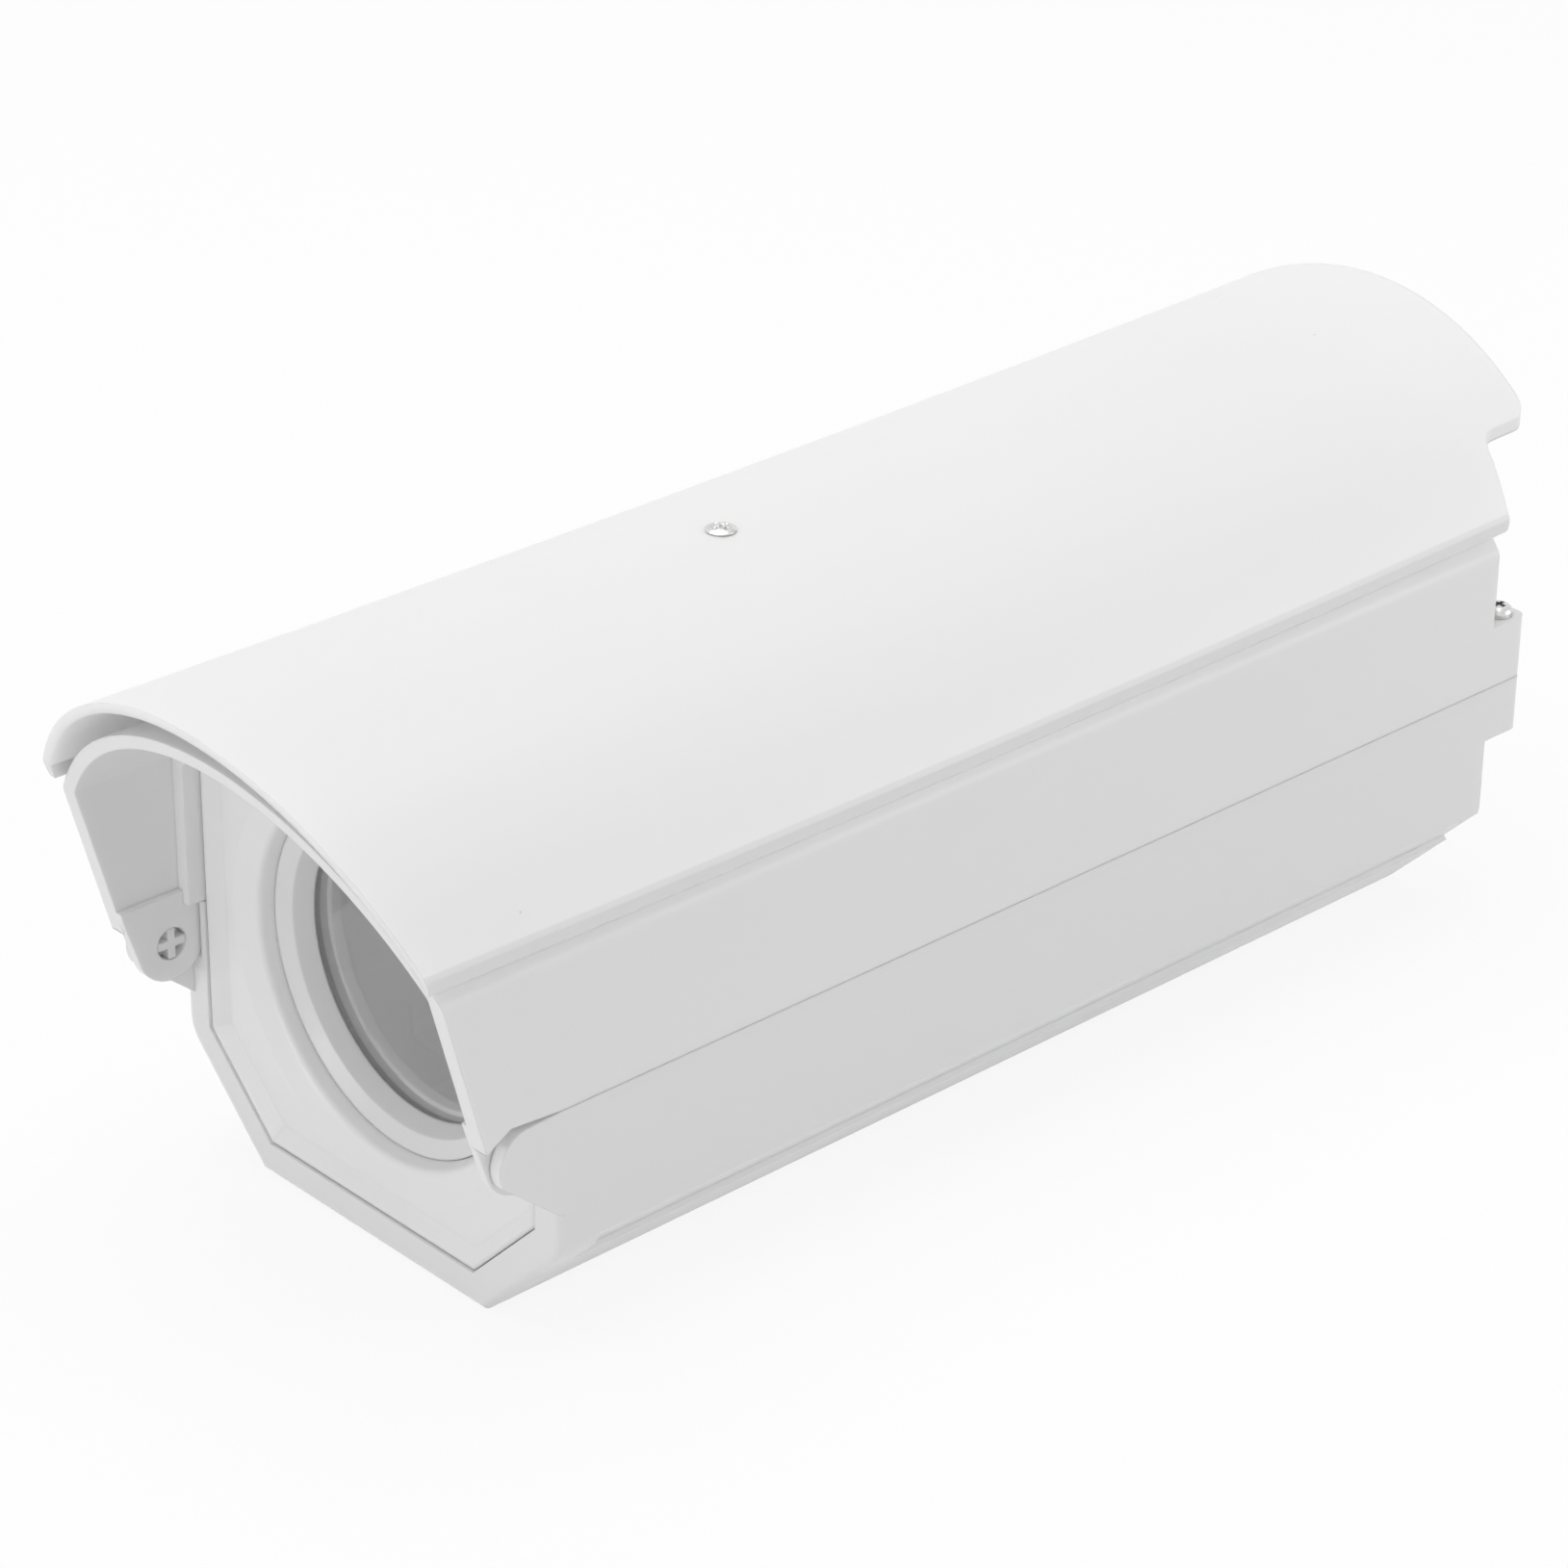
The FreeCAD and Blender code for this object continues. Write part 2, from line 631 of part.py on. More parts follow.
def hood_front(sketch):
    low, high = JOINT - 12.0, CROWN + 8.0
    far = hood_edge(high) - 20.0
    outline(sketch, [(hood_edge(low), low), (hood_edge(high), high), (far, high), (far, low)])


def hood_tip(sketch):
    """Corner of the hood below the joint, ahead of the lug's nose."""
    low, high = COVER_LOW - 2.3, COVER_LOW + S["notch_rise"]
    outline(sketch, [(FRONT - 9.7, high), (hood_edge(high), high), (hood_edge(low), low),
                     (FRONT - 14.7, low + 0.3)])


def nose_notch(sketch):
    """Opening of the cover's side wall over the lug's nose."""
    outline(sketch, [(FRONT + 1.3, COVER_LOW), (FRONT - 9.7, COVER_LOW + S["notch_rise"]),
                     (FRONT - 14.7, COVER_LOW - 2.0), (FRONT - 14.7, COVER_LOW - 6.0),
                     (FRONT + 1.3, COVER_LOW - 6.0)])


def ear_outline(sketch):
    r = S["ear_radius"]
    high, low = COVER_LOW + 2.6, COVER_LOW + 0.4
    c, s = math.cos(math.radians(12)), math.sin(math.radians(12))
    outline(sketch, [
        (PIVOT_Y + r, high), (PIVOT_Y + r, PIVOT_Z, r, -1), (PIVOT_Y, PIVOT_Z - r, r, -1),
        (PIVOT_Y - r * c, PIVOT_Z - r * s), (hood_edge(low), low), (hood_edge(high), high)])


def rib_outline(sketch):
    out_half, in_half = INNER_HALF + 0.6, INNER_HALF - S["rib_depth"]
    out_r, in_r = INNER_ROOF + 0.6, INNER_ROOF - S["rib_depth"]
    middle = S["roof_middle"]
    out_z = arc_height(out_r, middle, out_half)
    in_z = arc_height(in_r, middle, in_half)
    low = COVER_LOW + 0.2
    outline(sketch, [
        (out_half, low), (out_half, out_z, out_r, 1), (-out_half, out_z), (-out_half, low),
        (-in_half, low), (-in_half, in_z, in_r, -1), (in_half, in_z), (in_half, low)])


BOSS_TOP = CROWN - S["shield_wall"] - 1.2
HOOD_START = hood_edge(CROWN) - 5.0


def upper_cover():
    body = new_body("upper_cover")
    shoulder = S["shoulder_radius"]
    prism(body, "add", "XZ_Plane", HOOD_START, REAR, lambda sk: arch(sk, HALF, ROOF_R, COVER_LOW, shoulder))
    prism(body, "cut", "XZ_Plane", HOOD_START - 1.0, REAR - S["shell_wall"],
          lambda sk: arch(sk, INNER_HALF, INNER_ROOF, COVER_LOW - 1.0, shoulder * 0.5))
    prism(body, "cut", "YZ_Plane", -HALF - 5.0, HALF + 5.0, hood_front)
    side_prism(body, "add", INNER_HALF, HALF, hood_tip)
    side_prism(body, "cut", HALF - S["lug_thick"] - 0.2, HALF + 1.0, nose_notch)
    ear_out = HALF - S["lug_thick"] - 0.2
    side_prism(body, "add", ear_out - S["ear_thick"], ear_out, ear_outline)
    side_prism(body, "cut", ear_out - S["ear_thick"] - 1.0, ear_out + 1.0,
               lambda sk: circle(sk, PIVOT_Y, PIVOT_Z, S["post_radius"] + S["hinge_play"]))
    prism(body, "add", "XZ_Plane", FRONT - S["rib_ahead"], FRONT + S["rib_behind"], rib_outline)
    for side in sides():
        prism(body, "add", "XY_Plane", COVER_LOW, S["block_high"],
              lambda sk, side=side: rear_block(sk, side))
    for side in sides():
        prism(body, "cut", "XY_Plane", COVER_LOW - 1.0, S["block_high"] + 1.0,
              lambda sk, side=side: circle(sk, side * SCREW_X, SCREW_Y, 1.7))
    prism(body, "add", "XY_Plane", BOSS_TOP - 9.0, BOSS_TOP, lambda sk: circle(sk, 0, SHIELD_Y, 5.0))
    prism(body, "cut", "XY_Plane", BOSS_TOP - 7.0, BOSS_TOP + 1.0,
          lambda sk: circle(sk, 0, SHIELD_Y, 2.3))
    return body


# Sunshield

def shield_profile(sketch):
    r, crown, wall = SHIELD_R, CROWN, S["shield_wall"]
    middle = crown - r
    low = arc_height(r, middle, HALF) - S["skirt_depth"]
    bead = HALF + 0.4
    end_z = arc_height(r, middle, HALF)
    in_x = HALF - 1.5
    in_z = arc_height(r - wall, middle, in_x)
    outline(sketch, [
        (in_x, low), (HALF - 0.3, low), (HALF + 0.1, low + 0.5), (bead, low + 1.9), (bead, end_z - 0.9),
        (HALF, end_z, r, 1), (-HALF, end_z), (-bead, end_z - 0.9), (-bead, low + 1.9),
        (-(HALF + 0.1), low + 0.5), (0.3 - HALF, low), (-in_x, low),
        (-in_x, in_z, r - wall, -1), (in_x, in_z)])
    high = crown + S["bow_radius"]
    axis_line(sketch, as_size(-10.0), high, as_size(10.0), high)


def shield_front(sketch):
    def edge(height):
        return FRONT - S["shield_ahead"] - (height - S["shield_level"]) * S["shield_lean"]
    low, high = CROWN - 48.0, CROWN + 17.0
    far = edge(high) - 90.0
    outline(sketch, [(edge(low), low), (edge(high), high), (far, high), (far, low)])


def shield_tail(sketch):
    half, side_end = HALF - S["tongue_inset"], REAR + S["skirt_behind"]
    bow = S["tail_radius"]
    rear = arc_height(bow, REAR + S["shield_behind"] - bow, half - 3.7)
    corners = [(half - 3.7, rear, 3.7, -1), (half, rear - 3.7), (half, side_end + 6.2, 4.0, 1),
               (half + 3.9, side_end + 2.2), (HALF, side_end), (HALF + 8.0, side_end - 1.0),
               (HALF + 8.0, rear + 40.0)]
    mirrored = [(-(HALF + 8.0), rear + 40.0), (-(HALF + 8.0), side_end - 1.0), (-HALF, side_end),
                (-(half + 3.9), side_end + 2.2, 4.0, 1), (-half, side_end + 6.2),
                (-half, rear - 3.7, 3.7, -1), (3.7 - half, rear, bow, -1)]
    outline(sketch, corners + mirrored)


def sunshield():
    body = new_body("sunshield")
    spin(body, "add", "XZ_Plane", SHIELD_Y, shield_profile, 2.5, True)
    prism(body, "cut", "YZ_Plane", -HALF - 5.0, HALF + 5.0, shield_front)
    prism(body, "cut", "XY_Plane", CROWN - 48.0, CROWN + 22.0, shield_tail)
    prism(body, "cut", "XY_Plane", CROWN - 15.0, CROWN + 15.0, lambda sk: circle(sk, 0, SHIELD_Y, 1.7))
    return body


# Window

def plate_outline(sketch, inwards=0.0):
    """The plate's edge, or a line that runs inside it at a distance."""
    inset = S["rim_width"] + S["plate_play"] + inwards
    line = S["floor_half_width"] - inset * ROOT2
    half = HALF - inset
    radius = INNER_ROOF - S["rib_depth"] - S["rib_gap"] - inwards
    top = arc_height(radius, S["roof_middle"], half)
    outline(sketch, [
        (-(line + inset), inset), (line + inset, inset), (half, half - line),
        (half, top, radius, 1), (-half, top), (-half, half - line)])


def dish_profile(sketch):
    """Material removed along the window axis: shallow cone, steep wall, seat of the ring, rear lip."""
    high, mouth, bore, lip = WINDOW_Z, DISH_R, BORE_R, THROAT_R - 0.7
    outline(sketch, [
        (PLATE_FLOOR - 1.0, high), (PLATE_FLOOR - 1.0, high + mouth),
        (PLATE_FLOOR, high + mouth), (PLATE_FLOOR + 1.3, high + bore + 2.0, 1.6, 1),
        (PLATE_FLOOR + 2.4, high + bore + 0.7), (RING_FRONT, high + bore),
        (SEAL_BACK, high + bore), (SEAL_BACK, high + lip), (COLLAR_BACK + 1.0, high + lip),
        (COLLAR_BACK + 1.0, high)])
    axis_line(sketch, PLATE_FRONT, high, COLLAR_BACK, high)


def sloped_floor(body):
    """Sinks the plate's middle, with a slope from its border down to the floor."""
    before = volume_of(body)
    edge = S["plate_edge"] + 0.1
    rim = new_sketch(body, "XZ_Plane", PLATE_FRONT, lambda sk: plate_outline(sk, edge))
    floor = new_sketch(body, "XZ_Plane", PLATE_FLOOR, lambda sk: plate_outline(sk, S["plate_slope"]))
    feature = body.newObject("PartDesign::SubtractiveLoft", body.Name + "_floor")
    feature.Profile = rim
    feature.Sections = [floor]
    feature.Ruled = True
    doc.recompute()
    check_change(body, False, before)


def window_plate():
    body = new_body("window_plate")
    prism(body, "add", "XZ_Plane", PLATE_FRONT, PLATE_BACK, plate_outline)
    front = PLATE_FRONT.value

    def on_front(edge):
        return abs(edge.BoundBox.YMin - front) < 0.01 and abs(edge.BoundBox.YMax - front) < 0.01

    soften(body, "Chamfer", S["plate_edge"], on_front)
    sloped_floor(body)
    prism(body, "add", "XZ_Plane", PLATE_BACK - 0.5, COLLAR_BACK,
          lambda sk: circle(sk, 0, WINDOW_Z, BORE_R + S["collar_wall"]))
    spin(body, "cut", "YZ_Plane", as_size(0.0), dish_profile)
    for x, z in PLATE_SCREWS:
        prism(body, "cut", "XZ_Plane", PLATE_BACK - 2.4, PLATE_BACK + 0.5,
              lambda sk, x=x, z=z: circle(sk, x, z, 1.25))
    return body


def ring_profile(sketch):
    high = WINDOW_Z
    outline(sketch, [
        (RING_FRONT, high + RING_R), (RING_FRONT + 1.4, high + MOUTH_R),
        (GLASS_FRONT, high + THROAT_R), (GLASS_FRONT, high + RING_R)])
    axis_line(sketch, RING_FRONT, high, GLASS_FRONT, high)


def window_ring():
    body = new_body("window_ring")
    spin(body, "add", "YZ_Plane", as_size(0.0), ring_profile)
    return body


def window_glass():
    body = new_body("window_glass")
    prism(body, "add", "XZ_Plane", GLASS_FRONT, GLASS_BACK,
          lambda sk: circle(sk, 0, WINDOW_Z, BORE_R - 0.35))
    return body


def window_seal():
    item = tube("window_seal", BORE_R - 0.35, THROAT_R + 0.3, S["seal_thick"], 0.0, GLASS_BACK, WINDOW_Z, "Y")
    return group("window_seal", [item])


def window_screws():
    items = []
    for i, (x, z) in enumerate(PLATE_SCREWS):
        shank = cylinder("plate_shank_%d" % i, 1.25, 5.2, x, PLATE_BACK - 2.2, z, "Y")
        head = cylinder("plate_head_%d" % i, 2.4, 1.8, x, LEDGE_BACK, z, "Y")
        items.append(fuse("plate_screw_%d" % i, [shank, head]))
    return group("window_screws", items)


# Seal of the joint, closing screws, inserts

def joint_seal():
    body = new_body("joint_seal")
    prism(body, "add", "XY_Plane", JOINT - 1.2, COVER_LOW, lambda sk: seal_path(sk, 0.1))
    return body


def pan_head(sketch, shank, length):
    """Half section of a pan-head screw, seat at zero."""
    outline(sketch, [
        (0, -length), (shank - 0.3, -length), (shank, 0.3 - length), (shank, 0), (2.75, 0),
        (2.75, 0.9, 1.6, 1), (1.6, 2.0), (0, 2.2)])
    axis_line(sketch, 0, -length, 0, as_size(2.2))


def cross_recess(sketch):
    a, r = 0.45, 1.45
    corners = [(a, a), (a, r), (-a, r), (-a, a), (-r, a), (-r, -a),
               (-a, -a), (-a, -r), (a, -r), (a, -a), (r, -a), (r, a)]
    outline(sketch, corners)


def pan_screw(label, shank, length, x, y, z):
    body = new_body(label)
    length = as_size(length)
    spin(body, "add", "XZ_Plane", as_size(0.0), lambda sk: pan_head(sk, shank, length))
    prism(body, "cut", "XY_Plane", as_size(0.8), as_size(3.0), cross_recess)
    place(body, x, y, z)
    return body


def closing_screws():
    length = S["block_high"] - S["joint_height"] + 6.5
    for name, side in (("closing_screw_right", 1.0), ("closing_screw_left", -1.0)):
        pan_screw(name, 1.35, length, side * SCREW_X, SCREW_Y, S["block_high"] + 0.02)


def closing_inserts():
    items = [tube("closing_insert_%d" % i, 2.25, 1.85, 7.6, side * SCREW_X, SCREW_Y,
                  JOINT - 7.8) for i, side in enumerate(sides())]
    return group("closing_inserts", items)


def shield_fixing():
    pan_screw("shield_screw", 1.45, 9.0, 0.0, SHIELD_Y, CROWN + 0.02)
    insert = tube("shield_insert", 2.25, 1.5, 6.5, 0.0, SHIELD_Y, BOSS_TOP - 6.7)
    group("shield_insert", [insert])
    washer = tube("shield_washer", 4.6, 1.8, 0.9, 0.0, SHIELD_Y, BOSS_TOP + 0.02)
    group("shield_washer", [washer])


# Camera tray

def tray_section(sketch):
    half, lip = S["tray_half"], 1.5
    low, top = TRAY_LOW, TRAY_TOP
    outline(sketch, [
        (-half, low), (half, low), (half, top + 5.0), (half - lip, top + 5.0),
        (half - lip, top), (lip - half, top), (lip - half, top + 5.0), (-half, top + 5.0)])


def slot(sketch, y0, y1):
    r = S["slot_half"]
    outline(sketch, [(r, y0), (r, y1, r, 1), (0, y1 + r, r, 1), (-r, y1), (-r, y0, r, 1), (0, y0 - r, r, 1)])


def camera_tray():
    body = new_body("camera_tray")
    prism(body, "add", "XZ_Plane", TRAY_START, TRAY_END, tray_section)
    prism(body, "cut", "XY_Plane", TRAY_LOW - 1.0, TRAY_TOP + 1.0,
          lambda sk: slot(sk, TRAY_START + 27.0, TRAY_END - 57.0))
    for x, y in TRAY_SCREWS:
        prism(body, "cut", "XY_Plane", TRAY_LOW - 1.0, TRAY_TOP + 1.0,
              lambda sk, x=x, y=y: circle(sk, x, y, 1.7))
    return body


def tray_screws():
    items = []
    for i, (x, y) in enumerate(TRAY_SCREWS):
        shank = cylinder("tray_shank_%d" % i, 1.45, 8.0, x, y, TRAY_TOP - 7.5)
        head = cylinder("tray_head_%d" % i, 2.8, 1.8, x, y, TRAY_TOP)
        items.append(fuse("tray_screw_%d" % i, [shank, head]))
    return group("tray_screws", items)


def camera_mount():
    knob = cylinder("camera_knob", 7.0, 4.0, 0.0, -10.0, TRAY_LOW - 4.7)
    shoulder = cylinder("camera_shoulder", 4.0, S["tray_thick"] + 1.2, 0.0, -10.0, TRAY_LOW - 1.0)
    stud = cylinder("camera_stud", 3.15, 6.0, 0.0, -10.0, TRAY_TOP - 0.8)
    group("camera_screw", [fuse("camera_screw", [knob, shoulder, stud])])
    washer = tube("camera_washer", 6.5, 4.1, 0.6, 0.0, -10.0, TRAY_LOW - 0.65)
    group("camera_washer", [washer])


# Bracket plate and cable inlet

def bracket_plate():
    """Flush plate in the underside, with three threaded holes for a bracket."""
    body = new_body("bracket_plate")
    prism(body, "add", "XY_Plane", as_size(0.0), S["foot_thick"], foot_outline)
    for y in BRACKET_HOLES:
        prism(body, "cut", "XY_Plane", as_size(-1.0), S["foot_thick"] + 1.0,
              lambda sk, y=y: circle(sk, 0, y, 2.5))
    for x, y in FOOT_SCREWS:
        prism(body, "cut", "XY_Plane", as_size(-1.0), S["foot_thick"] + 1.0,
              lambda sk, x=x, y=y: circle(sk, x, y, 1.6))
        prism(body, "cut", "XY_Plane", as_size(-1.0), as_size(2.0), lambda sk, x=x, y=y: circle(sk, x, y, 3.1))
    return body


def bracket_plate_screws():
    items = []
    for i, (x, y) in enumerate(FOOT_SCREWS):
        head = cylinder("foot_head_%d" % i, 2.8, 1.7, x, y, as_size(0.3))
        shank = cylinder("foot_shank_%d" % i, 1.2, S["foot_thick"] + 0.8, x, y, as_size(1.2))
        items.append(fuse("foot_screw_%d" % i, [head, shank]))
    return group("bracket_plate_screws", items)


def cable_inlet():
    z = S["gland_height"]
    wall = S["shell_wall"]
    thread = cylinder("gland_thread", 8.0, wall + 6.0, 0.0, REAR - wall - 6.0, z, "Y")
    flange = prism_part("gland_hex", 6, 11.5, 5.0, 0.0, REAR, z, "Y")
    neck = cylinder("gland_neck", 7.0, 12.0, 0.0, REAR, z, "Y")
    bore = cylinder("gland_bore", 4.5, 40.0, 0.0, REAR - 20.0, z, "Y")
    group("gland_body", [cut("gland_body", fuse("gland_solid", [thread, flange, neck]), bore)])
    cap_hex = prism_part("gland_cap_hex", 6, 10.9, 7.0, 0.0, REAR + 5.1, z, "Y")
    cap_nose = cylinder("gland_cap_nose", 9.2, 12.2, 0.0, REAR + 5.1, z, "Y")
    cap_bore = cylinder("gland_cap_bore", 7.1, 10.7, 0.0, REAR + 5.0, z, "Y")
    cap_mouth = cylinder("gland_cap_mouth", 5.2, 30.0, 0.0, REAR, z, "Y")
    cap = cut("gland_cap_cut", fuse("gland_cap_solid", [cap_hex, cap_nose]), cap_bore)
    group("gland_cap", [cut("gland_cap", cap, cap_mouth)])
    seal = tube("gland_seal", 6.9, 3.4, 3.3, 0.0, REAR + 12.2, z, "Y")
    group("gland_seal", [seal])
    nut = prism_part("gland_nut_hex", 6, 11.5, 4.0, 0.0, REAR - wall - 4.0, z, "Y")
    nut_bore = cylinder("gland_nut_bore", 8.02, 10.0, 0.0, REAR - wall - 8.0, z, "Y")
    group("gland_locknut", [cut("gland_locknut", nut, nut_bore)])


base_shell()
upper_cover()
sunshield()
window_plate()
window_ring()
window_glass()
window_seal()
window_screws()
joint_seal()
closing_screws()
closing_inserts()
shield_fixing()
camera_tray()
tray_screws()
camera_mount()
bracket_plate()
bracket_plate_screws()
cable_inlet()

doc.recompute()
for item in doc.Objects:
    if "Invalid" in item.State or "Error" in item.State:
        raise RuntimeError("object not valid: " + item.Name)
for node in NODES:
    shape = node.Shape
    if shape.isNull() or not shape.isValid() or not shape.Solids:
        raise RuntimeError("bad shape: " + node.Label)
    shape.exportStep("parts/%s.step" % node.Label)
    print("%-22s %9.0f mm3 %4d faces %s" % (node.Label, shape.Volume, len(shape.Faces), shape.BoundBox))
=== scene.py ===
import json
import math

import bmesh
import bpy
from mathutils import Matrix, Vector


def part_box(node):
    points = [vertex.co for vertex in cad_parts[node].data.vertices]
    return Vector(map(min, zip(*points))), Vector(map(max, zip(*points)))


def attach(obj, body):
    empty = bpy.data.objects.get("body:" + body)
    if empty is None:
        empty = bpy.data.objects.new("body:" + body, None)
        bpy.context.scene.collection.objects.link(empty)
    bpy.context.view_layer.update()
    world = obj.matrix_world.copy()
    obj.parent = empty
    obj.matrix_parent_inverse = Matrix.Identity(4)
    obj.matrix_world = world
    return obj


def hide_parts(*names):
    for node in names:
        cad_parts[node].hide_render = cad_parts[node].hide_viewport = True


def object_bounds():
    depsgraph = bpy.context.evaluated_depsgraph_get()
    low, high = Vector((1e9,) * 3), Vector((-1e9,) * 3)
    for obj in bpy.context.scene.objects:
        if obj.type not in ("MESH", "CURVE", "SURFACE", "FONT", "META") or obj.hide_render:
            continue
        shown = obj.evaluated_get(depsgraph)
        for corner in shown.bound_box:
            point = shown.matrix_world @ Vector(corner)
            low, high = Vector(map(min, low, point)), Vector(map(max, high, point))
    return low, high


# Looks of an outdoor camera housing in white moulded plastic: materials for every CAD node, rounded
# edges, fine surface detail, and a pale studio. Metres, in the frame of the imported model.

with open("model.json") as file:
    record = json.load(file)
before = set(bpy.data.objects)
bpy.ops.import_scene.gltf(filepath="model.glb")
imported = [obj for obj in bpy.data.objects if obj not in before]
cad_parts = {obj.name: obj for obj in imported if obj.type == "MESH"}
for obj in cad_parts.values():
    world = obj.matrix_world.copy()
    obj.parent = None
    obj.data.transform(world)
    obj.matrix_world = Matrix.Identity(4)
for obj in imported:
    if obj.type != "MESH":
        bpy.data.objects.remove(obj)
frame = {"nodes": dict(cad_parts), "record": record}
nodes = frame["nodes"]
cad_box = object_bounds()

MM = 0.001


def grey(value):
    return (value, value, value, 1.0)


# Camera as in the photograph: where it stands, where it looks, and its lens on a 36 mm sensor
EYE = Vector((581.8, -553.8, 468.5)) * MM
TURN = math.radians(47.026)
TILT = math.radians(27.515)
ROLL = math.radians(0.548)
LENS = 116.43
SENSOR = 36.0
CLIP_START = 0.01
CLIP_END = 20.0

# Radii of the rounded edges
SHELL_EDGE = 0.5 * MM
NYLON_EDGE = 0.3 * MM
SHEET_METAL_EDGE = 0.25 * MM
SMALL_EDGE = 0.12 * MM

# Shades of the mouldings, all one white plastic in lit and shaded copies. The housing's white on the base
# is darker as painted shade, and the cover is lighter as painted light, for how light falls on their sides.
# The window plate is lighter as painted light on its front. The window ring is darker as painted shade
# inside the window's hollow.
HOUSING_WHITE_PAINTED_SHADE = grey(0.845)
COVER_WHITE_PAINTED_LIGHT = grey(0.870)
PLATE_WHITE_PAINTED_LIGHT = grey(0.885)
RING_WHITE_PAINTED_SHADE = grey(0.80)
NYLON = (0.79, 0.79, 0.775, 1.0)

# The sunshield's sheet: its top, painted lighter than the other mouldings as painted light; its folded
# sides, darker as painted shade; and its underside, lighter as painted light
SHEET_WHITE_PAINTED_LIGHT = grey(0.900)
SIDE_PAINTED_SHADE = grey(0.820)
UNDER_PAINTED_LIGHT = grey(0.990)

# The sheet's folded sides, with their painted shade, lie this far from the middle plane, after a short soft
# step into that painted shade
SHEET_SIDE = 50.0 * MM
SIDE_STEP = 0.15 * MM

# A face starts to count as the sheet's underside at the first height of its normal, and does at the second
UNDER_STARTS = -0.05
UNDER_FULL = -0.3

# Share of the light that spreads inside the white plastic, and how far it gets
TRANSLUCENCE = 0.5
DEPTH = 1.0 * MM
SHEET_TRANSLUCENCE = 0.6
SHEET_DEPTH = 1.3 * MM
UNDER_TRANSLUCENCE = 1.0
UNDER_DEPTH = 7.0 * MM

# Refraction and roughness of the mouldings, and how far rubbed patches change the roughness
PLASTIC_IOR = 1.5
PLASTIC_ROUGHNESS = 0.34
NYLON_ROUGHNESS = 0.42
RUB_SMOOTHER = 0.05
RUB_ROUGHER = 0.09

# Flow clouds in the mouldings, as factors on the shade
CLOUD_PALER = 1.008
CLOUD_DULLER = 0.985

# Faint specks in the plastic: cells per metre, share of cells with a speck, radius in cells, and shade
SPECK_CELLS = 210.0
SPECK_SHARE = 0.02
SPECK_RADIUS = 0.06
SPECK_SHADE = grey(0.72)

# Metals, each from its duller to its brighter patches
STEEL = ((0.56, 0.56, 0.555, 1.0), (0.74, 0.74, 0.73, 1.0))
BRASS = ((0.62, 0.44, 0.17, 1.0), (0.80, 0.62, 0.30, 1.0))
ALUMINIUM = ((0.60, 0.61, 0.62, 1.0), (0.72, 0.73, 0.74, 1.0))

# Rubber and silicone, each from its clean to its dusty patches
RUBBER = (grey(0.018), grey(0.055))
SILICONE = (grey(0.46), grey(0.54))

# Window: refraction, tint, what its shadow lets through, and the share and shade of its painted light, a
# pale diffuse glow that lightens it
GLASS_IOR = 1.5
GLASS_TINT = grey(0.80)
GLASS_SHADOW = grey(0.92)
GLASS_PAINTED_LIGHT = 0.165
GLASS_PAINTED_LIGHT_SHADE = grey(0.9)

# Low head of the sunshield's screw
HEAD_RADIUS = 2.75 * MM
HEAD_RISE = 0.95 * MM
RIM_RISE = 0.28 * MM
RIM_EDGE = 0.1 * MM
DOME_RINGS = 30
DOME_POWER = 2.2
SHANK_RADIUS = 1.45 * MM
SHANK_LENGTH = 9.0 * MM
SHANK_TIP = 0.5 * MM
SPOKES = 64

# Cross recess of the screw: half length and half width of a slot, how its width grows inwards, its
# depth, and how steeply the ends and sides go down
CROSS_REACH = 1.75 * MM
CROSS_HALF_WIDTH = 0.36 * MM
CROSS_SPREAD = 0.10
CROSS_DEPTH = 0.85 * MM
CROSS_END_SLOPE = 1.3
CROSS_SIDE_SLOPE = 5.0

# Studio: plain light from all round, a pale floor and three soft lamps
WORLD_LIGHT = 0.55
FLOOR_TONE = 0.80
FLOOR_GLOW = 0.85
FLOOR_HALF = 3.0
FLOOR_DROP = 0.2 * MM
MAX_BOUNCES = 12
DIFFUSE_BOUNCES = 10

# Each lamp: name, place, what it looks at, width and height, and power in watts
LAMPS = (
    ("top_light", (-0.25, -0.15, 1.5), (0.0, 0.0, 0.05), (1.4, 1.4), 9.9),
    ("side_light", (0.75, 0.70, 0.30), (0.05, 0.0, 0.05), (0.6, 0.6), 1.75),
    ("front_light", (-0.15, -1.5, 0.11), (0.0, -0.1, 0.06), (0.9, 0.2), 3.8),
)


# Node trees

